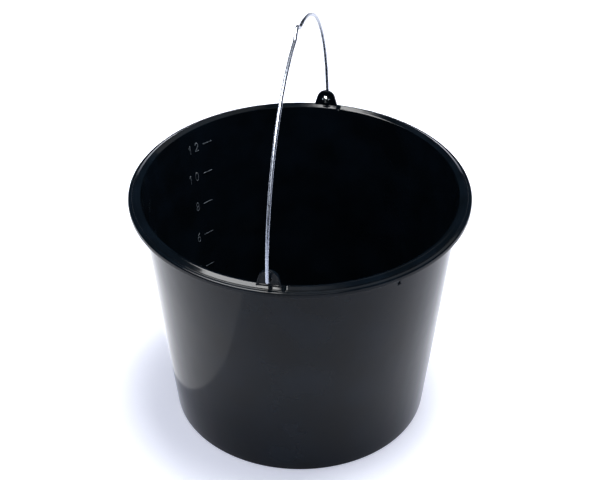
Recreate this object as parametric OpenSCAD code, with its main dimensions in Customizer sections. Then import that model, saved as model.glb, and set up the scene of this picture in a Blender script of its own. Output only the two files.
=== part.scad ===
// Florist bucket: a one-piece moulded plastic bucket with a collar round its rim,
// two pivot ears, a litre scale and a galvanised wire bail with domed end caps.
// Millimetres, +Z up, origin at the middle of the foot. The bail pivots about Y.

/* [Bucket] */
// Outer diameter of the collar
rim_d = 316; // [260:1:400]
// Height of the rim above the floor it stands on
bucket_h = 240; // [200:1:300]
// Outer diameter of the base
base_d = 247; // [200:1:260]
// Thickness of the side wall
wall_t = 1.8; // [1.5:0.1:2.5]
// Thickness of the floor
floor_t = 2; // [1.5:0.1:4]
// Height of the foot ring below the floor
foot_h = 1; // [0.5:0.1:4]
// Width of the foot ring
foot_w = 5; // [3:0.5:10]
// Radius inside the corner between wall and floor
floor_fillet = 3; // [1:0.5:6]

/* [Collar] */
// How far the collar stands out from the wall
collar_w = 9.5; // [8.5:0.1:14]
// Height of the collar's skirt, from the rim down
skirt_h = 8.2; // [7:0.1:14]
// Thickness of the collar's skin
collar_t = 1.7; // [1.2:0.1:2]
// Fall of the collar's top from its inner edge to its lip
collar_fall = 2.1; // [1.6:0.1:2.4]
// Depth of the groove outside the lip
groove_d = 1; // [0.5:0.1:1.2]
// Width of the notch beside each ear
notch_w = 1.6; // [1:0.1:3]
// Distance from the middle of an ear to its notch
notch_x = 13.2; // [13:0.1:16]
// Depth of the notch
notch_d = 1; // [0.5:0.1:1.2]

/* [Ears] */
// Radius of the round top of an ear
ear_r = 9.1; // [8:0.1:11]
// Angle of an ear's sides from upright
ear_flare = 15.5; // [10:0.5:18]
// Height of the top of an ear above the rim
ear_h = 15; // [13.5:0.1:18]
// Thickness of an ear
ear_t = 3.2; // [2.6:0.1:4]
// Distance from the collar's outside to the outer face of an ear
ear_inset = 5.6; // [5:0.1:6]
// Width of the raised border round the outer face
ear_border = 1.3; // [1:0.1:2]
// Depth of the panel inside the border
panel_d = 0.7; // [0.4:0.1:1]
// Height of the pivot above the rim
pivot_h = 6; // [5.4:0.1:7.5]
// Diameter of the pivot hole
pivot_hole_d = 4.8; // [4.2:0.1:6]

/* [Bail] */
// Diameter of the bail wire
wire_d = 3.2; // [2.6:0.1:3.6]
// Height of the arch above the pivot, to the middle of the wire
arch_h = 150.5; // [140:0.5:165]
// Gap between the ear's outer face and the leg of the bail
leg_gap = 4.6; // [3:0.1:6]
// Bend radius of the elbow at each end
elbow_r = 3.2; // [2.8:0.1:5]
// Half the width of the kink in the middle
kink_w = 14; // [11:0.5:20]
// Angle that the wire turns through at the foot of the kink
kink_a = 27; // [20:1:32]
// Bend radius at the feet of the kink
kink_foot_r = 6; // [4:0.5:8]
// Bend radius at the top of the kink
kink_top_r = 5; // [4:0.5:8]
// Angle of the bail from upright as it stands
bail_lean = -0.9; // [-60:0.1:60]

/* [End caps] */
// Diameter of a cap
cap_d = 7.6; // [6.4:0.1:8]
// Height of a cap's dome over its flange
cap_dome = 2.2; // [1.5:0.1:3]
// Thickness of a cap's flange
cap_flange = 0.7; // [0.5:0.1:1.2]
// Depth of the wire in the cap
cap_grip = 1.8; // [1.2:0.1:2]
// Play between the cap and the ear
cap_play = 0.4; // [0.3:0.1:1]

/* [Litre scale] */
// Volumes at the marks, in litres, lowest first
scale_litres = [4, 6, 8, 10, 12];
// Direction of the lowest dash from +X, in degrees
scale_dir = 145.2; // [100:0.1:170]
// Turn of each dash from the one below it, in degrees
scale_turn = -1.45; // [-2:0.05:2]
// Length of a dash
dash_l = 11; // [8:0.5:14]
// Height of a numeral
digit_h = 9.6; // [7:0.1:11]
// Width of a numeral
digit_w = 4.6; // [3.5:0.1:6]
// Distance between numerals, middle to middle
digit_pitch = 8.6; // [7:0.1:10]
// Distance from the middle of a dash to the middle of the nearest numeral
digit_gap = 13.6; // [12:0.1:16]
// Width of a stroke
stroke_w = 0.9; // [0.6:0.1:1.5]
// How far a stroke stands out of the wall
stroke_t = 0.5; // [0.3:0.1:0.8]

/* [Air hole] */
// Diameter of the air hole
air_d = 3; // [2:0.1:5]
// Depth of the hole's middle below the rim
air_drop = 20.6; // [18:0.1:26]
// Direction of the air hole from +X, in degrees
air_dir = -44.4; // [-70:0.1:-20]

/* [Hidden] */
$fn = 96;
wall_fn = 180;

cut = 1; // overshoot of every cutting shape
bite = 0.6; // how deep a raised stroke starts inside the wall
arc_steps = 8;

rim_r = rim_d / 2;
wall_top_r = rim_r - collar_w;
wall_foot_r = base_d / 2;
wall_slope = (wall_top_r - wall_foot_r) / bucket_h;
wall_angle = atan(wall_slope);
wall_dx = wall_t / cos(wall_angle);
floor_z = foot_h + floor_t;
heel_r = 1.5; // outside corner of the base
edge_r = 0.8; // crest of the rim, and where its mouth meets the wall
mouth_a = 32; // slope of the mouth, from level
shoulder_r = 1.8; // outside corner of the collar
lip_r = 0.5; // edge of the lip
hem_r = 0.4; // lower edge of the skirt
root_h = 2; // height of the slope where the collar leaves the wall
root_w = 1.4; // width of that slope
throat_h = 8; // depth below the rim at which the inner wall runs straight

lip_x = rim_r - 3.6;
groove_x = rim_r - 2.7;
lip_z = bucket_h - collar_fall;
groove_z = lip_z - groove_d;
shoulder_z = groove_z - 0.6;
skirt_z = bucket_h - skirt_h;
pivot_z = bucket_h + pivot_h;
ear_out = rim_r - ear_inset;
ear_in = ear_out - ear_t;
dome_z = bucket_h + ear_h - ear_r;
ear_foot_z = lip_z - collar_t;
ear_foot = (ear_r + (dome_z - ear_foot_z) * sin(ear_flare)) / cos(ear_flare);
panel_sill = 0.6; // height of the panel's lower edge above the rim
web_drop = 1; // how far the webs under the collar stop above the hem
// The crest of the rim, and where the sloping mouth inside it rounds into the wall
crest_r = wall_top_r + 2.3;
mouth_z = bucket_h - edge_r - (crest_r - wall_top_r + wall_dx - edge_r) * tan(mouth_a);

function outer_r(z) = wall_foot_r + wall_slope * z;
function inner_r(z) = outer_r(z) - wall_dx;

// Height above the foot at which the bucket holds a volume: a cone's volume, solved for its height
function level(litres) =
    let (r0 = inner_r(floor_z))
    floor_z + (pow(3 * wall_slope * litres * 1e6 / PI + pow(r0, 3), 1 / 3) - r0) / wall_slope;

// Points of a round corner: centre, radius, first and last angle
function corner(x, y, r, a0, a1) =
    [for (i = [0 : arc_steps]) let (a = a0 + (a1 - a0) * i / arc_steps) [x + r * cos(a), y + r * sin(a)]];

// Half section of the moulding, from the middle of the foot out, up, over the collar and back down
function bucket_section() = concat(
    [[0, foot_h], [wall_foot_r - foot_w - foot_h, foot_h], [wall_foot_r - foot_w, 0]],
    corner(outer_r(0) - heel_r, heel_r, heel_r, -90, -wall_angle),
    [[outer_r(ear_foot_z - root_h), ear_foot_z - root_h]],
    [[outer_r(ear_foot_z) + root_w, groove_z - collar_t]],
    [[rim_r - collar_t, groove_z - collar_t], [rim_r - collar_t, skirt_z]],
    corner(rim_r - hem_r, skirt_z + hem_r, hem_r, -90, 0),
    corner(rim_r - shoulder_r, shoulder_z - shoulder_r + hem_r, shoulder_r, 0, 75),
    [[groove_x, groove_z]],
    corner(lip_x - lip_r, lip_z - lip_r, lip_r, 0, 65),
    corner(crest_r, bucket_h - edge_r, edge_r, 65, 90 + mouth_a),
    corner(inner_r(mouth_z) + edge_r, mouth_z, edge_r, 90 + mouth_a, 180 - wall_angle),
    [[inner_r(bucket_h - throat_h), bucket_h - throat_h]],
    corner(inner_r(floor_z) - floor_fillet, floor_z + floor_fillet, floor_fillet, -wall_angle, -90),
    [[0, floor_z]]
);

// Outline of an ear: a round top on a base that widens down to the collar
module ear_outline(inset = 0) {
    r = ear_r - inset;
    foot = ear_foot - inset;
    translate([0, dome_z]) circle(r = r);
    polygon([
        [-foot, ear_foot_z + inset], [foot, ear_foot_z + inset],
        [r * cos(ear_flare), dome_z + r * sin(ear_flare)], [-r * cos(ear_flare), dome_z + r * sin(ear_flare)]
    ]);
}

// The ear at +Y, with the border round its outer face and the hole for the wire
module ear() {
    difference() {
        translate([0, ear_out, 0]) rotate([90, 0, 0]) linear_extrude(ear_t) ear_outline();
        translate([0, ear_out + cut, 0]) rotate([90, 0, 0]) linear_extrude(cut + panel_d)
            intersection() {
                ear_outline(ear_border);
                translate([-ear_foot, bucket_h + panel_sill]) square([2 * ear_foot, 2 * ear_h]);
            }
        translate([0, ear_out + cut, pivot_z]) rotate([90, 0, 0])
            cylinder(d = pivot_hole_d, h = ear_t + 2 * cut);
    }
}

// Two webs under the collar carry each ear's load into the wall
module ear_webs() {
    web_z = skirt_z + web_drop;
    for (side = [-1, 1])
        translate([side * ear_foot - collar_t / 2, outer_r(web_z) - 1, web_z])
            cube([collar_t, rim_r - outer_r(web_z) - collar_t, groove_z - collar_t - web_z + bite]);
}

// The notch across the collar's top on the +X side of an ear
module ear_notch() {
    translate([notch_x - notch_w / 2, wall_top_r - wall_dx - cut, lip_z - notch_d])
        cube([notch_w, lip_x - wall_top_r + wall_dx + cut + hem_r, collar_fall + notch_d + cut]);
}

// One raised stroke on the inner wall: turn from +X, offset to the right, height, width and height of it
module stroke(dir, x, z, w, h) {
    rotate([0, 0, dir])
        translate([inner_r(z), 0, z])
            rotate([0, wall_angle, 0])
                translate([-stroke_t, -x - w / 2, -h / 2])
                    cube([stroke_t + bite, w, h]);
}

// A numeral from level and upright strokes, in the order top, middle, bottom, then left and right
// sides of the upper half, then of the lower half
FIGURES = [
    [1, 0, 1, 1, 1, 1, 1], [0, 0, 0, 0, 1, 0, 1], [1, 1, 1, 0, 1, 1, 0], [1, 1, 1, 0, 1, 0, 1],
    [0, 1, 0, 1, 1, 0, 1], [1, 1, 1, 1, 0, 0, 1], [1, 1, 1, 1, 0, 1, 1], [1, 0, 0, 0, 1, 0, 1],
    [1, 1, 1, 1, 1, 1, 1], [1, 1, 1, 1, 1, 0, 1]
];

module numeral(figure, dir, x, z) {
    on = FIGURES[figure];
    side = (digit_w - stroke_w) / 2;
    half = (digit_h - stroke_w) / 2;
    for (k = [0 : 2])
        if (on[k] == 1) stroke(dir, x, z + (1 - k) * half, digit_w, stroke_w);
    for (k = [0 : 3])
        if (on[3 + k] == 1)
            stroke(dir, x + (k % 2 == 0 ? -side : side), z + (k < 2 ? half / 2 : -half / 2),
                stroke_w, half + stroke_w);
}

module litre_scale() {
    for (i = [0 : len(scale_litres) - 1]) {
        litres = scale_litres[i];
        z = level(litres);
        dir = scale_dir + i * scale_turn;
        turn = digit_gap / inner_r(z) * 180 / PI;
        next = digit_pitch / inner_r(z) * 180 / PI;
        stroke(dir, 0, z, dash_l, stroke_w);
        numeral(litres % 10, dir + turn, 0, z);
        if (litres >= 10) numeral(floor(litres / 10), dir + turn + next, 0, z);
    }
}

module air_hole() {
    z = bucket_h - air_drop;
    rotate([0, 0, air_dir]) translate([inner_r(z) - 2 * cut, 0, z]) rotate([0, 90, 0])
        cylinder(d = air_d, h = wall_t + 4 * cut);
}

module bucket_body() {
    color([0.14, 0.15, 0.17])
    difference() {
        union() {
            rotate_extrude($fn = wall_fn) polygon(bucket_section());
            for (end = [0, 1])
                mirror([0, end, 0]) {
                    ear();
                    ear_webs();
                }
            litre_scale();
        }
        for (end = [0, 1]) mirror([0, end, 0]) ear_notch();
        air_hole();
    }
}

// The bail lies in the YZ plane about the pivot axis: y along the axis, w up from it
wire_sides = 16;
wire_skin = 0.03;
tube_r = (wire_d / 2 + wire_skin) / cos(180 / wire_sides);
leg_y = ear_out + leg_gap + wire_d / 2;
// The arch is one arc about a point below the pivot, through the top and the legs
arch_drop = (pow(leg_y, 2) / arch_h - arch_h) / 2;
bail_r = arch_h + arch_drop;
elbow_y = sqrt(pow(bail_r - elbow_r, 2) - pow(elbow_r + arch_drop, 2));
leg_turn = atan2(elbow_r + arch_drop, elbow_y);
kink_at = asin(kink_w / bail_r);
kink_rise = kink_at + kink_a;
kink_run = (kink_w - kink_foot_r * (sin(kink_rise) - sin(kink_at)) - kink_top_r * sin(kink_rise))
    / cos(kink_rise);
kink_foot_y = (bail_r + kink_foot_r) * sin(kink_at);
kink_foot_z = (bail_r + kink_foot_r) * cos(kink_at) - arch_drop;
kink_top_z = kink_foot_z - (kink_foot_r + kink_top_r) * cos(kink_rise) + kink_run * sin(kink_rise);
pin_end_y = ear_in - cap_play - cap_grip;
pin_sleeve = 2;

// Rings along a bend: its middle, its radius, first and last angle, how many steps, and the angle
// by which the outside of the bail is turned from the bend's own outside; each ring is [y, w, angle]
function bend(y, w, r, a0, a1, steps, flip = 0) =
    [for (i = [0 : steps]) let (a = a0 + (a1 - a0) * i / steps) [y + r * cos(a), w + r * sin(a), a - flip]];

// The half of the bail at +Y, from the top of the kink down: kink, main arc, leg and elbow
function half_bail() = concat(
    bend(0, kink_top_z, kink_top_r, 90, 90 - kink_rise, 4),
    bend(kink_foot_y, kink_foot_z, kink_foot_r, 270 - kink_rise, 270 - kink_at, 4, 180),
    bend(0, -arch_drop, bail_r, 90 - kink_at, leg_turn, 32),
    bend(elbow_y, elbow_r, elbow_r, leg_turn, -90, 8),
    [[elbow_y - pin_sleeve, 0, -90]]
);

function whole_bail() = let (half = half_bail(), last = len(half) - 1)
    concat([for (i = [last : -1 : 1]) [-half[i][0], half[i][1], 180 - half[i][2]]], half);

// A round wire swept along the rings
module wire_sweep(rings) {
    n = wire_sides;
    points = [for (ring = rings) for (k = [0 : n - 1]) let (t = 360 * k / n)
        let (out = tube_r * cos(t))
            [tube_r * sin(t), ring[0] + out * cos(ring[2]), ring[1] + out * sin(ring[2])]];
    skin = [for (i = [0 : len(rings) - 2]) for (k = [0 : n - 1]) let (j = (k + 1) % n)
        [i * n + k, (i + 1) * n + k, (i + 1) * n + j, i * n + j]];
    first = [for (k = [0 : n - 1]) k];
    end = [for (k = [n - 1 : -1 : 0]) (len(rings) - 1) * n + k];
    polyhedron(points, concat(skin, [first, end]));
}

// The round pin at the end of the wire, through the ear and into the cap
module pin() {
    translate([0, pin_end_y, 0]) rotate([-90, 0, 0])
        cylinder(d = wire_d, h = elbow_y - pin_sleeve / 2 - pin_end_y, $fn = 32);
}

module on_pivot() {
    translate([0, 0, pivot_z]) rotate([0, bail_lean, 0]) children();
}

module bail_wire() {
    color([0.62, 0.64, 0.66])
    on_pivot() {
        wire_sweep(whole_bail());
        pin();
        mirror([0, 1, 0]) pin();
    }
}

// The cap at +Y: a domed disc pressed on the pin's end, inside the ear
module cap() {
    dome_r = (pow(cap_d / 2, 2) + pow(cap_dome, 2)) / (2 * cap_dome);
    color([0.72, 0.74, 0.76])
    on_pivot()
        translate([0, ear_in - cap_play, 0]) rotate([90, 0, 0])
            difference() {
                union() {
                    cylinder(d = cap_d, h = cap_flange);
                    intersection() {
                        translate([0, 0, cap_flange + cap_dome - dome_r]) sphere(r = dome_r);
                        translate([0, 0, cap_flange]) cylinder(d = cap_d + cut, h = cap_dome + cut);
                    }
                }
                translate([0, 0, -cut]) cylinder(d = wire_d, h = cap_grip + cut, $fn = 32);
            }
}

module bail_cap_back() { cap(); }
module bail_cap_front() { mirror([0, 1, 0]) cap(); }

bucket_body();
bail_wire();
bail_cap_front();
bail_cap_back();
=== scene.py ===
import math
import bpy
import numpy as np
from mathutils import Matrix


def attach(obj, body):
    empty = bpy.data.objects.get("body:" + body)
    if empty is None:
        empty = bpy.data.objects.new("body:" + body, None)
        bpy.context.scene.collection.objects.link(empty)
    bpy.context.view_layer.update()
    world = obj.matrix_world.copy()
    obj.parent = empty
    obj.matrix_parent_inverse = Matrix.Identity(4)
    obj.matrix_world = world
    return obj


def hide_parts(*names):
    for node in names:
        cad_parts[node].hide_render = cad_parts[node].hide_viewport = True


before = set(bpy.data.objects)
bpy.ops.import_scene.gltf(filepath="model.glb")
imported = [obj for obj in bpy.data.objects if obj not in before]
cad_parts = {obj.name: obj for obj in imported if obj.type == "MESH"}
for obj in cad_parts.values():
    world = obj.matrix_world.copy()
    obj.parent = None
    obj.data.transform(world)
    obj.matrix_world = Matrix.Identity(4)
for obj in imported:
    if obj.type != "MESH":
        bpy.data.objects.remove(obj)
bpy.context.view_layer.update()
print("frame loaded:", sorted(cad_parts))

tau = 2 * math.pi
mm = 0.001


# helpers

def link(obj):
    bpy.context.scene.collection.objects.link(obj)
    return obj


def sheetQuads(rows, cols, closeRows, closeCols):
    # quads between neighbouring points of a rows x cols grid, wrapping round where it is closed
    i = np.arange(rows if closeRows else rows - 1)[:, None]
    j = np.arange(cols if closeCols else cols - 1)[None, :]
    i2, j2 = (i + 1) % rows, (j + 1) % cols
    return np.stack([i * cols + j, i2 * cols + j, i2 * cols + j2, i * cols + j2], axis=-1).reshape(-1, 4)


def meshFrom(name, points, quads, fans=()):
    # points (n, 3) in metres, quads (m, 4), fans: lists of (centre point, ring of indices)
    points = np.asarray(points, float).reshape(-1, 3)
    tris = []
    for centre, ring in fans:
        points = np.vstack([points, centre])
        ring = np.asarray(ring)
        tris.append(np.stack([np.full(len(ring), len(points) - 1), ring, np.roll(ring, -1)], axis=1))
    tris = np.concatenate(tris) if tris else np.zeros((0, 3), int)
    loops = np.concatenate([np.asarray(quads).ravel(), tris.ravel()]).astype(np.int32)
    sizes = np.concatenate([np.full(len(quads), 4), np.full(len(tris), 3)])
    starts = np.concatenate([[0], np.cumsum(sizes)[:-1]]).astype(np.int32)
    mesh = bpy.data.meshes.new(name)
    mesh.vertices.add(len(points))
    mesh.vertices.foreach_set("co", points.astype(np.float32).ravel())
    mesh.loops.add(len(loops))
    mesh.loops.foreach_set("vertex_index", loops)
    mesh.polygons.add(len(sizes))
    mesh.polygons.foreach_set("loop_start", starts)
    mesh.polygons.foreach_set("use_smooth", np.full(len(sizes), True))
    mesh.update(calc_edges=True)
    mesh.validate()
    return link(bpy.data.objects.new(name, mesh))


def lathe(profile, steps):
    # a profile of (radius, height) turned about Z: point = (r cos a, r sin a, z).
    # The profile starts and ends on the axis, where a fan of triangles closes it
    profile = np.asarray(profile, float)
    a = np.arange(steps) * tau / steps
    body = profile[1:-1]
    r, z = body[:, 0][:, None], body[:, 1][:, None]
    points = np.stack([r * np.cos(a), r * np.sin(a), z + 0 * a], axis=-1)
    quads = sheetQuads(len(body), steps, False, True)
    first = np.arange(steps)
    last = (len(body) - 1) * steps + np.arange(steps)
    fans = [((0, 0, profile[0, 1]), first), ((0, 0, profile[-1, 1]), last[::-1])]
    return points, quads[:, ::-1], fans


def arcPoints(x, y, r, a0, a1, steps):
    # points round a corner: centre + r (cos a, sin a)
    a = np.radians(np.linspace(a0, a1, steps))
    return np.stack([x + r * np.cos(a), y + r * np.sin(a)], axis=1)


def straight(p, q, steps):
    # points along a line, without its two ends
    t = np.linspace(0, 1, steps + 2)[1:-1, None]
    return np.asarray(p) * (1 - t) + np.asarray(q) * t


def hexColor(code):
    # an sRGB hex value turned to linear light
    c = np.array([int(code[i:i + 2], 16) for i in (1, 3, 5)]) / 255
    c = np.where(c <= 0.04045, c / 12.92, ((c + 0.055) / 1.055) ** 2.4)
    return (*[float(v) for v in c], 1.0)


def newMaterial(name):
    mat = bpy.data.materials.new(name)
    mat.use_nodes = True
    mat.node_tree.nodes.clear()
    return mat


def addNode(mat, kind, settings=None, links=None, stops=()):
    # settings: a node property, or an input's name with its value; links: input name -> (node, output
    # name); stops: the position and colour of each end of a colour ramp
    node = mat.node_tree.nodes.new(kind)
    for key, value in (settings or {}).items():
        if isinstance(key, str) and hasattr(node, key):
            setattr(node, key, value)
        else:
            node.inputs[key].default_value = value
    for key, (source, output) in (links or {}).items():
        mat.node_tree.links.new(source.outputs[output], node.inputs[key])
    for k, (position, color) in enumerate(stops):
        node.color_ramp.elements[k].position = position
        node.color_ramp.elements[k].color = color
    return node


# camera

camera = {
    "place": (0.1982, -1.1311, 1.0048),
    "down": 35.72,    # degrees below the horizon
    "turn": 9.94,     # degrees to the left of +Y
    "lens": 90.0,
    "sensor": 36.0,
}

camData = bpy.data.cameras.new("camera")
camData.lens = camera["lens"]
camData.sensor_width = camera["sensor"]
camData.clip_end = 50
cam = link(bpy.data.objects.new("camera", camData))
cam.location = camera["place"]
cam.rotation_euler = (math.radians(90 - camera["down"]), 0, math.radians(camera["turn"]))
bpy.context.scene.camera = cam
print("camera placed")


# materials

plastic = {
    "deep": "#060a0e",      # the carbon black pigment
    "worn": "#0a1118",      # where handling has dulled it
    "rough": 0.1, "smoother": 0.04, "rougher": 0.06,
    "ior": 1.49,            # polypropylene
    "specular": 0.1,        # below the real plastic's 0.5, which keeps the wall dark
    "grain": 1.2 * mm,      # spark grain of the mould
    "grainBump": 0.05, "grainDeep": 0.15 * mm,
    "flow": 38 * mm,        # width of the faint bands left by the melt's flow
    "flowBump": 0.12, "flowDeep": 1.5 * mm,
}


def mouldedPolypropylene():
    # injection moulded polypropylene, black: a satin skin from the polished mould,
    # with faint flow bands and a very fine grain that break up the highlights
    mat = newMaterial("mouldedPolypropylene")
    coords = addNode(mat, "ShaderNodeTexCoord")
    bands = addNode(mat, "ShaderNodeTexNoise",
                    {"Scale": 1 / plastic["flow"], "Detail": 3.0, "Roughness": 0.5},
                    {"Vector": (coords, "Object")})
    grain = addNode(mat, "ShaderNodeTexNoise",
                    {"Scale": 1 / plastic["grain"], "Detail": 2.0, "Roughness": 0.6},
                    {"Vector": (coords, "Object")})
    tint = addNode(mat, "ShaderNodeValToRGB", links={"Fac": (bands, "Fac")},
                   stops=[(0.35, hexColor(plastic["deep"])), (0.7, hexColor(plastic["worn"]))])
    rough = addNode(mat, "ShaderNodeMapRange",
                    {"From Min": 0.3, "From Max": 0.7, "To Min": plastic["rough"] - plastic["smoother"],
                     "To Max": plastic["rough"] + plastic["rougher"]}, {"Value": (bands, "Fac")})
    wave = addNode(mat, "ShaderNodeBump",
                   {"Strength": plastic["flowBump"], "Distance": plastic["flowDeep"]},
                   {"Height": (bands, "Fac")})
    skin = addNode(mat, "ShaderNodeBump",
                   {"Strength": plastic["grainBump"], "Distance": plastic["grainDeep"]},
                   {"Height": (grain, "Fac"), "Normal": (wave, "Normal")})
    shader = addNode(mat, "ShaderNodeBsdfPrincipled",
                     {"IOR": plastic["ior"], "Specular IOR Level": plastic["specular"], "Metallic": 0.0},
                     {"Base Color": (tint, "Color"), "Roughness": (rough, "Result"),
                      "Normal": (skin, "Normal")})
    addNode(mat, "ShaderNodeOutputMaterial", links={"Surface": (shader, "BSDF")})
    return mat


# colours of the painted highlight on the scale's strokes, not of any wear
strokeHighlight = {
    "dull": "#2b3036",
    "bright": "#565d64",
    "rough": 0.3,
    "glintPatch": 3 * mm,        # length of the patches of painted highlight
}


def rubbedPolypropylene():
    # the same plastic on the raised strokes, with a lighter grey in patches that is painted highlight,
    # standing in for
    # the light their edges catch: the strokes are duller and lighter than the skin around them, so that
    # they show
    mat = newMaterial("rubbedPolypropylene")
    coords = addNode(mat, "ShaderNodeTexCoord")
    glintPatches = addNode(mat, "ShaderNodeTexNoise",
                     {"Scale": 1 / strokeHighlight["glintPatch"], "Detail": 3.0, "Roughness": 0.6},
                     {"Vector": (coords, "Object")})
    # patches of painted highlight: a light grey standing in for the light that the strokes' edges catch
    tint = addNode(mat, "ShaderNodeValToRGB", links={"Fac": (glintPatches, "Fac")},
                   stops=[(0.4, hexColor(strokeHighlight["dull"])), (0.6, hexColor(strokeHighlight["bright"]))])
    shader = addNode(mat, "ShaderNodeBsdfPrincipled",
                     {"IOR": plastic["ior"], "Roughness": strokeHighlight["rough"]}, {"Base Color": (tint, "Color")})
    addNode(mat, "ShaderNodeOutputMaterial", links={"Surface": (shader, "BSDF")})
    return mat


wireFinish = {
    "zinc": "#949aa6",
    "dull": "#828895",
    "rough": 0.26, "smoother": 0.06, "rougher": 0.1,
    "spangle": 2.5 * mm,    # size of the zinc's crystals
    "draw": 0.25 * mm,      # spacing of the lines left by the drawing die
    "drawBump": 0.03, "drawDeep": 0.05 * mm,
}


def galvanisedWire():
    # drawn mild steel wire, galvanised: a grey metal shine clouded by the zinc's crystals,
    # with fine lines left by the drawing die along its length
    mat = newMaterial("galvanisedWire")
    coords = addNode(mat, "ShaderNodeTexCoord")
    cloud = addNode(mat, "ShaderNodeTexNoise",
                    {"Scale": 1 / wireFinish["spangle"], "Detail": 3.0, "Roughness": 0.55},
                    {"Vector": (coords, "Object")})
    lines = addNode(mat, "ShaderNodeTexNoise",
                    {"Scale": 1 / wireFinish["draw"], "Detail": 1.0, "Roughness": 0.5},
                    {"Vector": (coords, "Object")})
    tint = addNode(mat, "ShaderNodeValToRGB", links={"Fac": (cloud, "Fac")},
                   stops=[(0.3, hexColor(wireFinish["dull"])), (0.65, hexColor(wireFinish["zinc"]))])
    rough = addNode(mat, "ShaderNodeMapRange",
                    {"From Min": 0.3, "From Max": 0.7,
                     "To Min": wireFinish["rough"] - wireFinish["smoother"],
                     "To Max": wireFinish["rough"] + wireFinish["rougher"]}, {"Value": (cloud, "Fac")})
    skin = addNode(mat, "ShaderNodeBump",
                   {"Strength": wireFinish["drawBump"], "Distance": wireFinish["drawDeep"]},
                   {"Height": (lines, "Fac")})
    shader = addNode(mat, "ShaderNodeBsdfPrincipled", {"Metallic": 1.0},
                     {"Base Color": (tint, "Color"), "Roughness": (rough, "Result"),
                      "Normal": (skin, "Normal")})
    addNode(mat, "ShaderNodeOutputMaterial", links={"Surface": (shader, "BSDF")})
    return mat


capFinish = {
    "plate": "#dfe7e9",
    "haze": "#b9c4c8",
    "rough": 0.16, "smoother": 0.05, "rougher": 0.08,
    "cloud": 1.8 * mm,      # size of the hazy patches in the plating
}


def platedCap():
    # pressed steel cap, bright zinc plated: a near mirror with a cool tint and a little haze
    mat = newMaterial("platedCap")
    coords = addNode(mat, "ShaderNodeTexCoord")
    cloud = addNode(mat, "ShaderNodeTexNoise",
                    {"Scale": 1 / capFinish["cloud"], "Detail": 2.0, "Roughness": 0.5},
                    {"Vector": (coords, "Object")})
    tint = addNode(mat, "ShaderNodeValToRGB", links={"Fac": (cloud, "Fac")},
                   stops=[(0.3, hexColor(capFinish["haze"])), (0.6, hexColor(capFinish["plate"]))])
    rough = addNode(mat, "ShaderNodeMapRange",
                    {"From Min": 0.3, "From Max": 0.7, "To Min": capFinish["rough"] - capFinish["smoother"],
                     "To Max": capFinish["rough"] + capFinish["rougher"]}, {"Value": (cloud, "Fac")})
    shader = addNode(mat, "ShaderNodeBsdfPrincipled", {"Metallic": 1.0},
                     {"Base Color": (tint, "Color"), "Roughness": (rough, "Result")})
    addNode(mat, "ShaderNodeOutputMaterial", links={"Surface": (shader, "BSDF")})
    return mat


blackPlastic = mouldedPolypropylene()
paintedHighlightStrokes = rubbedPolypropylene()
zincWire = galvanisedWire()
brightCap = platedCap()
print("materials mixed")


# the bucket's wall, floor and collar

bucket = {
    "rim": 316 * mm, "height": 240 * mm, "base": 247 * mm,
    "wall": 1.8 * mm, "floor": 2 * mm, "foot": 1 * mm, "footWidth": 5 * mm, "fillet": 3 * mm,
    "footEdge": 0.1 * mm, "heel": 1.5 * mm,
    "collar": 9.5 * mm, "skirt": 8.2 * mm, "skin": 1.7 * mm, "fall": 2.1 * mm, "groove": 1 * mm,
    "root": 2 * mm, "rootOut": 1.4 * mm, "throat": 0.5 * mm, "hem": 0.4 * mm, "hemIn": 0.3 * mm,
    "shoulder": 1.8 * mm, "shoulderDrop": 2 * mm, "grooveInset": 2.7 * mm,
    "lip": 0.5 * mm, "lipInset": 3.6 * mm, "lipFoot": (0.03 * mm, 0.12 * mm),
    "edge": 0.8 * mm, "crest": 2.3 * mm, "mouth": 32, "mouthDeep": 8 * mm,
    "around": 360,
}

rimR = bucket["rim"] / 2
high = bucket["height"]
topR = rimR - bucket["collar"]
footR = bucket["base"] / 2
slope = (topR - footR) / high
tilt = math.degrees(math.atan(slope))
wallDx = bucket["wall"] / math.cos(math.radians(tilt))
floorZ = bucket["foot"] + bucket["floor"]
lipX = rimR - bucket["lipInset"]
grooveX = rimR - bucket["grooveInset"]
lipZ = high - bucket["fall"]
grooveZ = lipZ - bucket["groove"]
skirtZ = high - bucket["skirt"]


def outerR(z):
    return footR + slope * z


def innerR(z):
    return outerR(z) - wallDx


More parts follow.
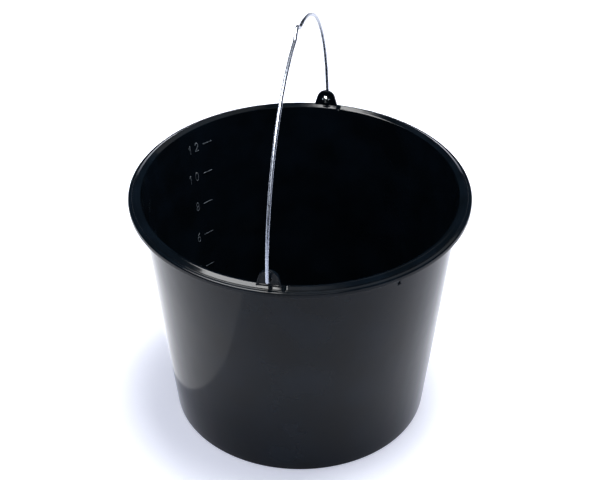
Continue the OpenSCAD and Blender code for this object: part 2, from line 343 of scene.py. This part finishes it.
def bucketProfile():
    # half section of the moulding: under the floor, over the foot ring, up the wall, round the collar
    # and its skirt, over the lip, down inside and across the floor
    skin, foot, footEdge = bucket["skin"], bucket["foot"], bucket["footEdge"]
    footIn = footR - bucket["footWidth"]
    heelR, filletR, throatR, hemInR = bucket["heel"], bucket["fillet"], bucket["throat"], bucket["hemIn"]
    hemR, shoulderR, lipR = bucket["hem"], bucket["shoulder"], bucket["lip"]
    edge, mouth = bucket["edge"], bucket["mouth"]
    skinIn = rimR - skin
    heel = arcPoints(outerR(0) - heelR, heelR, heelR, -90, -tilt, 8)
    rootZ = lipZ - skin - bucket["root"]
    under = (outerR(rootZ), rootZ)
    root = (outerR(lipZ - skin) + bucket["rootOut"], grooveZ - skin)
    inside = (innerR(high - bucket["mouthDeep"]), high - bucket["mouthDeep"])
    mouthZ = high - edge - (bucket["crest"] + wallDx - edge) * math.tan(math.radians(mouth))
    fillet = arcPoints(innerR(floorZ) - filletR, floorZ + filletR, filletR, -tilt, -90, 10)
    crest = arcPoints(topR + bucket["crest"], high - edge, edge, 65, 90 + mouth, 10)
    throatIn = arcPoints(innerR(mouthZ) + edge, mouthZ, edge, 90 + mouth, 180 - tilt, 8)
    lip = arcPoints(lipX - lipR, lipZ - lipR, lipR, -10, 65, 6)
    lipFoot = (lipX + bucket["lipFoot"][0], grooveZ + bucket["lipFoot"][1])
    shoulder = arcPoints(rimR - shoulderR, grooveZ - bucket["shoulderDrop"], shoulderR, 0, 75, 10)
    hem = arcPoints(rimR - hemR, skirtZ + hemR, hemR, -90, 0, 6)
    hemIn = arcPoints(skinIn + hemInR, skirtZ + hemInR, hemInR, 180, 270, 5)
    throat = arcPoints(skinIn - throatR, grooveZ - skin - throatR, throatR, 90, 0, 5)
    rows = [
        [(0, foot)], straight((0, foot), (footIn, foot), 10), [(footIn, foot)],
        [(footIn - footEdge, footEdge)], [(footIn + 2 * footEdge, 0)], heel,
        straight(heel[-1], under, 24), [under], [root], straight(root, throat[0], 1), throat,
        straight(throat[-1], hemIn[0], 2), hemIn, hem, straight(hem[-1], shoulder[0], 1), shoulder,
        [(grooveX, grooveZ)], [lipFoot], lip, straight(lip[-1], crest[0], 4), crest,
        straight(crest[-1], throatIn[0], 3), throatIn, straight(throatIn[-1], inside, 2), [inside],
        straight(inside, fillet[0], 24), fillet,
        straight(fillet[-1], (0, floorZ), 12), [(0, floorZ)],
    ]
    return np.vstack([np.asarray(r, float) for r in rows])


points, quads, fans = lathe(bucketProfile(), bucket["around"])
bucketShell = meshFrom("bucketShell", points, quads, fans)
bucketShell.data.materials.append(blackPlastic)


# the ears

ear = {
    "radius": 9.1 * mm, "flare": 15.5, "above": 15 * mm, "thick": 3.2 * mm, "inset": 5.6 * mm,
    "border": 1.3 * mm, "panel": 0.7 * mm, "sill": 0.6 * mm, "pivot": 6 * mm, "hole": 4.8 * mm,
    "holeEdge": 0.3 * mm, "soft": 0.45 * mm, "panelFlat": 0.25 * mm,
    # the rows over the panel's soft edge, in mm: border widened, depth under the face, sill raised
    "panelEdge": ((0.1, 0.6, 0.1), (-0.02, 0.25, 0), (-0.12, 0.06, -0.1), (-0.32, 0, -0.3)),
    "corner": 14,           # the power that sets how square the foot's corners are
    "around": 192,
}

pivotZ = high + ear["pivot"]
earOut = rimR - ear["inset"]
earIn = earOut - ear["thick"]
domeZ = high + ear["above"] - ear["radius"]
earFoot = (ear["radius"] + (domeZ - lipZ + bucket["skin"]) * math.sin(math.radians(ear["flare"]))) \
    / math.cos(math.radians(ear["flare"]))


def earReach(directions, inset, bottom):
    # distance from the pivot to the ear's outline in each direction: the nearest of the lines that
    # touch the dome and run down to the foot, and of the bottom line, with a soft corner between them
    a = np.radians(np.linspace(ear["flare"], 180 - ear["flare"], 121))
    normals = np.stack([np.cos(a), np.sin(a)], axis=1)
    room = ear["radius"] - inset + normals[:, 1] * (domeZ - pivotZ)
    dome = np.clip(directions @ normals.T / room, 1e-6, None).max(axis=1)
    down = np.clip(-directions[:, 1] / (pivotZ - bottom), 1e-6, None)
    return 1 / (dome ** ear["corner"] + down ** ear["corner"]) ** (1 / ear["corner"])


def buildEar(name, side):
    # a closed ring of sections round the pivot: each row is the hole's circle or the ear's outline
    # brought in by an inset, at a depth y; the rows run over the outer face, the edge and the inner face
    a = np.arange(ear["around"]) * tau / ear["around"]
    d = np.stack([np.cos(a), np.sin(a)], axis=1)
    soft, hole, edge = ear["soft"], ear["hole"] / 2, ear["holeEdge"]
    foot = lipZ - bucket["skin"]
    panelY, sill = earOut - ear["panel"], high + ear["sill"]
    rows = []

    def circle(radius, y):
        rows.append((np.full(len(a), radius), y))

    def outline(inset, y, bottom):
        rows.append((earReach(d, inset, bottom), y))

    circle(hole, panelY - edge)
    circle(hole + 0.3 * edge, panelY - 0.3 * edge)
    circle(hole + edge, panelY)
    reach = earReach(d, ear["border"] + ear["panelFlat"], sill + ear["panelFlat"])
    for t in (0.33, 0.66, 1.0):
        rows.append(((hole + edge) * (1 - t) + reach * t, panelY))
    for wider, deep, raised in ear["panelEdge"]:
        outline(ear["border"] + wider * mm, earOut - deep * mm, sill + raised * mm)
    for face, way, corner in ((earOut, -1, np.linspace(0, 90, 6)), (earIn, 1, np.linspace(90, 0, 6))):
        for k in np.radians(corner):
            outline(soft * (1 - math.sin(k)), face + way * soft * (1 - math.cos(k)), foot)
    reach = earReach(d, soft, foot)
    for t in (0.66, 0.33):
        rows.append(((hole + edge) * (1 - t) + reach * t, earIn))
    circle(hole + edge, earIn)
    circle(hole + 0.3 * edge, earIn + 0.3 * edge)
    circle(hole, earIn + edge)
    points = np.stack([np.stack([r * d[:, 0], np.full(len(a), y), pivotZ + r * d[:, 1]], axis=1)
                       for r, y in rows])
    points[..., 1] *= side
    quads = sheetQuads(len(rows), len(a), True, True)
    piece = meshFrom(name, points, quads if side > 0 else quads[:, ::-1])
    piece.data.materials.append(blackPlastic)
    return piece


earBack = buildEar("earBack", 1)
earFront = buildEar("earFront", -1)


# webs under the collar

web = {
    "clear": 1 * mm, "intoTop": 0.5 * mm, "intoWall": 1 * mm, "intoSkirt": 0.2 * mm,
    "power": 8, "sides": 64, "rows": 6,
}


def buildWeb(name, side, end):
    # a thin slab under the collar, its section a soft rectangle: |x/a|^8 + |z/b|^8 = 1, carried out along Y
    sides, rows, power = web["sides"], web["rows"], web["power"]
    a = np.arange(sides) * tau / sides
    c, n = np.cos(a), np.sin(a)
    k = (np.abs(c) ** power + np.abs(n) ** power) ** (-1 / power)
    low, top = skirtZ + web["clear"], grooveZ - bucket["skin"] + web["intoTop"]
    middle = (low + top) / 2
    x = side * earFoot + bucket["skin"] / 2 * k * c
    z = middle + (top - low) / 2 * k * n
    y = np.linspace(outerR(low) - web["intoWall"], rimR - bucket["skin"] + web["intoSkirt"], rows)[:, None]
    points = np.stack([x + 0 * y, y + 0 * x, z + 0 * y], axis=-1)
    points[..., 1] = np.sqrt(points[..., 1] ** 2 - points[..., 0] ** 2)
    quads = sheetQuads(rows, sides, False, True)
    ring = np.arange(sides)
    fans = [((side * earFoot, points[0, :, 1].mean(), middle), ring[::-1]),
            ((side * earFoot, points[-1, :, 1].mean(), middle), (rows - 1) * sides + ring)]
    if end < 0:
        points[..., 1] *= -1
        quads = quads[:, ::-1]
        fans = [((cx, -cy, cz), ends[::-1]) for (cx, cy, cz), ends in fans]
    piece = meshFrom(name, points, quads, fans)
    piece.data.materials.append(blackPlastic)
    return piece


webs = [buildWeb(f"web{place}{hand}", side, end)
        for place, end in (("Back", 1), ("Front", -1)) for hand, side in (("A", -1), ("B", 1))]


# the notch beside each ear, and the air hole

notch = {"beside": 13.2 * mm, "width": 1.6 * mm, "depth": 1 * mm, "past": 0.4 * mm, "over": 1 * mm}
airHole = {"across": 3 * mm, "drop": 20.6 * mm, "direction": -44.4, "over": 3 * mm, "sides": 32}


def cutter(name, points):
    # a closed box from its eight corners, for cutting only
    faces = [(0, 3, 2, 1), (4, 5, 6, 7), (0, 1, 5, 4), (1, 2, 6, 5), (2, 3, 7, 6), (3, 0, 4, 7)]
    mesh = bpy.data.meshes.new(name)
    mesh.from_pydata([tuple(p) for p in points], [], faces)
    return link(bpy.data.objects.new(name, mesh))


def cutFrom(piece, tool):
    cut = piece.modifiers.new("cut", "BOOLEAN")
    cut.operation = "DIFFERENCE"
    cut.solver = "EXACT"
    cut.object = tool
    deps = bpy.context.evaluated_depsgraph_get()
    done = bpy.data.meshes.new_from_object(piece.evaluated_get(deps))
    old = piece.data
    piece.modifiers.remove(cut)
    piece.data = done
    done.name = piece.name
    bpy.data.meshes.remove(old)
    tools = tool.data
    bpy.data.objects.remove(tool)
    bpy.data.meshes.remove(tools)


def notchTool(end):
    # a box across the collar's lip beside one ear
    x0, x1 = notch["beside"] - notch["width"] / 2, notch["beside"] + notch["width"] / 2
    y0, y1 = sorted((end * (topR - wallDx - notch["over"]), end * (lipX + notch["past"])))
    z0, z1 = lipZ - notch["depth"], high + notch["over"]
    corners = ((x0, y0), (x1, y0), (x1, y1), (x0, y1))
    return cutter("notchTool", [(x, y, z) for z in (z0, z1) for x, y in corners])


def drillTool():
    # a closed rod through the wall where the air hole goes
    z = high - airHole["drop"]
    turn = math.radians(airHole["direction"])
    sides = airHole["sides"]
    a = np.arange(sides) * tau / sides
    along = np.array([innerR(z) - airHole["over"], outerR(z) + airHole["over"]])[:, None]
    side = airHole["across"] / 2 * np.cos(a)
    points = np.stack([along * math.cos(turn) - side * math.sin(turn),
                       along * math.sin(turn) + side * math.cos(turn),
                       z + airHole["across"] / 2 * np.sin(a) + 0 * along], axis=-1)
    centres = [(reach * math.cos(turn), reach * math.sin(turn), z) for reach in along[:, 0]]
    ring = np.arange(sides)
    return meshFrom("drill", points, sheetQuads(2, sides, False, True)[:, ::-1],
                    [(centres[0], ring[::-1]), (centres[1], sides + ring)])


for end in (1, -1):
    cutFrom(bucketShell, notchTool(end))
cutFrom(bucketShell, drillTool())
print("bucket moulded")


# the scale inside, its figures and its unit of litres both assumed

litreScale = {
    "litres": (4, 6, 8, 10, 12), "direction": 145.2, "turn": -1.45,
    "dash": 11 * mm, "high": 9.6 * mm, "wide": 4.6 * mm, "pitch": 8.6 * mm, "gap": 13.6 * mm,
    "stroke": 0.9 * mm, "proud": 0.5 * mm, "sunk": 0.6, "step": 0.35 * mm, "sides": 14,
    "tip": 0.4 * mm, "tipWide": 0.45, "tipTall": 0.6,
}


def levelOf(litres):
    # height at which the bucket holds a volume: a cone's volume solved for its height
    r0 = innerR(floorZ)
    return floorZ + ((3 * slope * litres * 1e-3 / math.pi + r0 ** 3) ** (1 / 3) - r0) / slope


def ellipseArc(cx, cy, rx, ry, a0, a1, steps=18):
    a = np.radians(np.linspace(a0, a1, steps))
    return np.stack([cx + rx * np.cos(a), cy + ry * np.sin(a)], axis=1)


def figureLines(figure):
    # the strokes of a numeral in a box from -1 to 1 both ways
    shapes = {
        0: [ellipseArc(0, 0, 1, 1, 90, 450, 40)],
        1: [np.array([(-0.65, 0.5), (0.15, 1.0)]), np.array([(0.15, 1.0), (0.15, -1.0)])],
        2: [np.vstack([ellipseArc(0, 0.45, 0.92, 0.55, 165, -35), np.array([(-0.95, -1.0)])]),
            np.array([(-0.95, -1.0), (1.0, -1.0)])],
        4: [np.array([(0.45, -1.0), (0.45, 1.0), (-1.0, -0.4)]), np.array([(-1.0, -0.4), (1.0, -0.4)])],
        6: [ellipseArc(0, -0.42, 0.95, 0.58, 90, 450, 30), ellipseArc(0.9, -0.3, 1.85, 1.3, 180, 98, 16)],
        8: [ellipseArc(0, 0.5, 0.78, 0.5, -90, 270, 28), ellipseArc(0, -0.5, 0.98, 0.5, 90, 450, 28)],
    }
    return shapes[figure]


def resample(line, step):
    # points at equal spacing along a line of straight pieces
    gaps = np.linalg.norm(np.diff(line, axis=0), axis=1)
    at = np.concatenate([[0], np.cumsum(gaps)])
    t = np.linspace(0, at[-1], max(6, int(at[-1] / step)))
    return np.stack([np.interp(t, at, line[:, k]) for k in (0, 1)], axis=1)


def raisedStroke(line, direction, z):
    # a rib along a line drawn on the wall: its section is a half ellipse, w/2 cos b wide and h sin b high,
    # that closes up at both ends; each point is then laid on the cone at angle = direction - s / radius
    line = resample(line, litreScale["step"])
    run = np.gradient(line, axis=0)
    run /= np.linalg.norm(run, axis=1)[:, None]
    across = np.stack([-run[:, 1], run[:, 0]], axis=1)
    tip = litreScale["tip"]
    line = np.vstack([line[:1] - run[:1] * tip, line, line[-1:] + run[-1:] * tip])
    across = np.vstack([across[:1], across, across[-1:]])
    b = np.linspace(0, tau, litreScale["sides"], endpoint=False)
    wide = litreScale["stroke"] / 2 * np.ones(len(line))
    wide[[0, -1]] *= litreScale["tipWide"]
    tall = litreScale["proud"] * np.ones(len(line))
    tall[[0, -1]] *= litreScale["tipTall"]
    s = line[:, 0][:, None] + across[:, 0][:, None] * wide[:, None] * np.cos(b)
    h = line[:, 1][:, None] + across[:, 1][:, None] * wide[:, None] * np.cos(b)
    lift = tall[:, None] * np.maximum(np.sin(b), -litreScale["sunk"])
    zz = z + h * math.cos(math.radians(tilt)) + lift * math.sin(math.radians(tilt))
    rr = innerR(z + h * math.cos(math.radians(tilt))) - lift * math.cos(math.radians(tilt))
    a = math.radians(direction) - s / innerR(z)
    return np.stack([rr * np.cos(a), rr * np.sin(a), zz], axis=-1)


def markLines(litres):
    # the dash of one mark, then its numerals from the units up, drawn flat about the dash's middle
    half = np.array([litreScale["wide"], litreScale["high"]]) / 2 - litreScale["stroke"] / 2
    dash = litreScale["dash"] / 2 - litreScale["tip"]
    lines = [np.array([(-dash, 0), (dash, 0)])]
    for place, figure in enumerate(reversed(str(litres))):
        shift = (litreScale["gap"] + place * litreScale["pitch"], 0)
        lines += [f * half - shift for f in figureLines(int(figure))]
    return lines


def buildScale():
    # every stroke is a rib whose two ends are closed by quads across them
    points, quads, count = [], [], 0
    for i, litres in enumerate(litreScale["litres"]):
        direction = litreScale["direction"] + i * litreScale["turn"]
        for line in markLines(litres):
            rib = raisedStroke(line, direction, levelOf(litres))
            rows, sides = rib.shape[:2]
            quads.append(sheetQuads(rows, sides, False, True) + count)
            k = np.arange(sides // 2 - 1)
            for start in (0, (rows - 1) * sides):
                ring = count + start + np.arange(sides)
                quad = np.stack([ring[k], ring[k + 1], ring[sides - 2 - k], ring[sides - 1 - k]], axis=1)
                quads.append(quad if start else quad[:, ::-1])
            points.append(rib.reshape(-1, 3))
            count += rows * sides
    piece = meshFrom("scaleMarks", np.vstack(points), np.vstack(quads))
    piece.data.materials.append(paintedHighlightStrokes)
    print("scale raised:", len(points), "strokes")
    return piece


scaleMarks = buildScale()


# the bail

bail = {
    "wire": 3.2 * mm, "arch": 150.5 * mm, "gap": 4.6 * mm, "elbow": 3.2 * mm,
    "kinkWidth": 14 * mm, "kinkAngle": 27, "kinkFoot": 6 * mm, "kinkTop": 5 * mm, "lean": -0.9, "sides": 28,
    "capGrip": 1.8 * mm, "capPlay": 0.4 * mm, "pinRow": 1 * mm,
}

legY = earOut + bail["gap"] + bail["wire"] / 2
archDrop = (legY ** 2 / bail["arch"] - bail["arch"]) / 2
bailR = bail["arch"] + archDrop
wireR = bail["wire"] / 2
capFace = earIn - bail["capPlay"]


def bend(cy, cw, r, a0, a1, steps, flip=0):
    # rows of (y, w, angle of the bail's outside) round a bend
    a = np.linspace(a0, a1, steps)
    return np.stack([cy + r * np.cos(np.radians(a)), cw + r * np.sin(np.radians(a)), a - flip], axis=1)


def halfBail():
    # from the top of the kink: its top bend, its straight side, its foot, the main arc, the elbow and
    # the pin
    at = math.degrees(math.asin(bail["kinkWidth"] / bailR))
    rise = at + bail["kinkAngle"]
    ra, rr = math.radians(at), math.radians(rise)
    foot, top = bail["kinkFoot"], bail["kinkTop"]
    run = (bail["kinkWidth"] - foot * (math.sin(rr) - math.sin(ra)) - top * math.sin(rr)) / math.cos(rr)
    footY, footW = (bailR + foot) * math.sin(ra), (bailR + foot) * math.cos(ra) - archDrop
    topW = footW - (foot + top) * math.cos(rr) + run * math.sin(rr)
    elbowY = math.sqrt((bailR - bail["elbow"]) ** 2 - (bail["elbow"] + archDrop) ** 2)
    leg = math.degrees(math.atan2(bail["elbow"] + archDrop, elbowY))
    return np.vstack([
        bend(0, topW, top, 90, 90 - rise, 12),
        bend(footY, footW, foot, 270 - rise, 270 - at, 12, 180),
        bend(0, -archDrop, bailR, 90 - at, leg, 130)[1:],
        bend(elbowY, bail["elbow"], bail["elbow"], leg, -90, 18)[1:],
        [(earOut - bail["pinRow"], 0, -90)], [(capFace - bail["capGrip"], 0, -90)],
    ])


def onPivot(points):
    # turns points about the pivot axis by the bail's lean and lifts them to the pivot
    c, s = math.cos(math.radians(bail["lean"])), math.sin(math.radians(bail["lean"]))
    x, y, z = points[..., 0], points[..., 1], points[..., 2]
    return np.stack([x * c + z * s, y, pivotZ - x * s + z * c], axis=-1)


def buildWire():
    # a round tube along the whole bail, the far half the near half mirrored
    half = halfBail()
    other = half[:0:-1] * (-1, 1, 1)
    other[:, 2] = 180 - half[:0:-1, 2]
    y, w, turn = np.vstack([other, half]).T[..., None]
    turn = np.radians(turn)
    sides = bail["sides"]
    t = np.arange(sides) * tau / sides
    points = onPivot(np.stack([
        wireR * np.sin(t) + 0 * turn,
        y + wireR * np.cos(t) * np.cos(turn),
        w + wireR * np.cos(t) * np.sin(turn)], axis=-1))
    ring = np.arange(sides)
    fans = [(points[0].mean(axis=0), ring[::-1]),
            (points[-1].mean(axis=0), (len(points) - 1) * sides + ring)]
    quads = sheetQuads(len(points), sides, False, True)
    piece = meshFrom("bailWire", points, quads[:, ::-1], fans)
    piece.data.materials.append(zincWire)
    return piece


bailWire = buildWire()


# the end caps

endCap = {"across": 7.6 * mm, "dome": 2.2 * mm, "flange": 0.7 * mm, "hem": 0.15 * mm, "rim": 0.2 * mm,
          "rimDrop": 0.1 * mm, "around": 64}


def buildCap(name, side):
    # a domed disc turned about the pin's axis: its dome is part of a sphere over a thin rounded flange
    r = endCap["across"] / 2
    sphere = (r ** 2 + endCap["dome"] ** 2) / (2 * endCap["dome"])
    hemR, rimEdge = endCap["hem"], endCap["rim"]
    wide = math.degrees(math.asin((r - hemR) / sphere))
    dome = arcPoints(0, endCap["flange"] + endCap["dome"] - sphere, sphere, 90 - wide, 90, 20)
    hem = arcPoints(r - hemR, hemR, hemR, -90, 0, 5)
    rim = arcPoints(r - rimEdge, endCap["flange"] - endCap["rimDrop"], rimEdge, 0, 50, 4)
    profile = np.vstack([[(0, 0)], [(wireR, 0)], hem, rim, dome])
    points, quads, fans = lathe(profile, endCap["around"])

    def place(p):
        p = np.asarray(p, float)
        return onPivot(np.stack([p[..., 0], side * (capFace - p[..., 2]), p[..., 1]], axis=-1))

    fans = [(place(c), ring if side > 0 else ring[::-1]) for c, ring in fans]
    piece = meshFrom(name, place(points), quads if side > 0 else quads[:, ::-1], fans)
    piece.data.materials.append(brightCap)
    return piece


capBack = buildCap("capBack", 1)
capFront = buildCap("capFront", -1)
print("bail bent and capped")


# what each piece stands for and moves with

for piece in [bucketShell, earBack, earFront, scaleMarks] + webs:
    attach(piece, "bucket")
    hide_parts("bucket_body")
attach(bailWire, "bail")
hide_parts("bail_wire")
for piece, node in ((capBack, "bail_cap_back"), (capFront, "bail_cap_front")):
    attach(piece, "bail")
    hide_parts(node)


# floor and light

studio = {
    "floor": "#f1f2f6", "floorSize": 12.0, "glow": "#e9ebfb", "floorGlow": 0.4,
    "sky": "#e2e9fb", "skyPower": 0.6, "fibre": 2.5 * mm, "fibreDeep": 0.2 * mm,
}


def paperFloor():
    # a flat sheet of pale paper that glows a little itself, so that it stays white
    mat = newMaterial("paperFloor")
    coords = addNode(mat, "ShaderNodeTexCoord")
    fibres = addNode(mat, "ShaderNodeTexNoise", {"Scale": 1 / studio["fibre"], "Detail": 2.0},
                     {"Vector": (coords, "Object")})
    bump = addNode(mat, "ShaderNodeBump", {"Strength": 0.02, "Distance": studio["fibreDeep"]},
                   {"Height": (fibres, "Fac")})
    shader = addNode(mat, "ShaderNodeBsdfPrincipled",
                     {"Base Color": hexColor(studio["floor"]), "Roughness": 0.9, "Specular IOR Level": 0.1,
                      "Emission Color": hexColor(studio["glow"]), "Emission Strength": studio["floorGlow"]},
                     {"Normal": (bump, "Normal")})
    addNode(mat, "ShaderNodeOutputMaterial", links={"Surface": (shader, "BSDF")})
    return mat


h = studio["floorSize"] / 2
floorMesh = bpy.data.meshes.new("floor")
floorMesh.from_pydata([(-h, -h, 0), (h, -h, 0), (h, h, 0), (-h, h, 0)], [], [(0, 1, 2, 3)])
floor = link(bpy.data.objects.new("floor", floorMesh))
floor.data.materials.append(paperFloor())

world = bpy.data.worlds.new("studio")
world.use_nodes = True
world.node_tree.nodes["Background"].inputs["Color"].default_value = hexColor(studio["sky"])
world.node_tree.nodes["Background"].inputs["Strength"].default_value = studio["skyPower"]
world.cycles_visibility.glossy = False
bpy.context.scene.world = world

lamps = [
    # name, place, aimed at, size, power, lights matt surfaces, seen in gloss
    ("boxTop", (-0.73, -0.27, 1.96), (-0.73, -0.27, 0), (1.16, 1.0), 165, False, True),
    ("boxKey", (0.2, 0.12, 2.4), (0, 0, 0), (0.95, 0.95), 72, True, False),
    ("boxFront", (0.25, -1.5, 1.95), (0, 0, 0.3), (1.8, 1.9), 26, False, True),
    ("boxBack", (0.35, 0.95, 2.0), (0, 0, 0.3), (1.6, 1.5), 10, False, True),
    ("cardLeft", (-0.64, -0.4, 0.004), (-0.64, -0.4, 1), (1.0, 1.6), 3.6, False, True),
]


def softBox(name, place, target, size, power, matt, gloss):
    data = bpy.data.lights.new(name, "AREA")
    data.shape = "RECTANGLE"
    data.size, data.size_y = size
    data.energy = power
    lamp = link(bpy.data.objects.new(name, data))
    way = np.asarray(target, float) - np.asarray(place, float)
    flat = math.hypot(way[0], way[1])
    lamp.location = place
    lamp.visible_camera = False
    lamp.visible_diffuse = matt
    lamp.visible_glossy = gloss
    lamp.rotation_euler = (math.atan2(flat, -way[2]), 0, math.atan2(-way[0], way[1]))


for lampSettings in lamps:
    softBox(*lampSettings)
bpy.context.scene.view_settings.view_transform = "Standard"
print("studio lit")
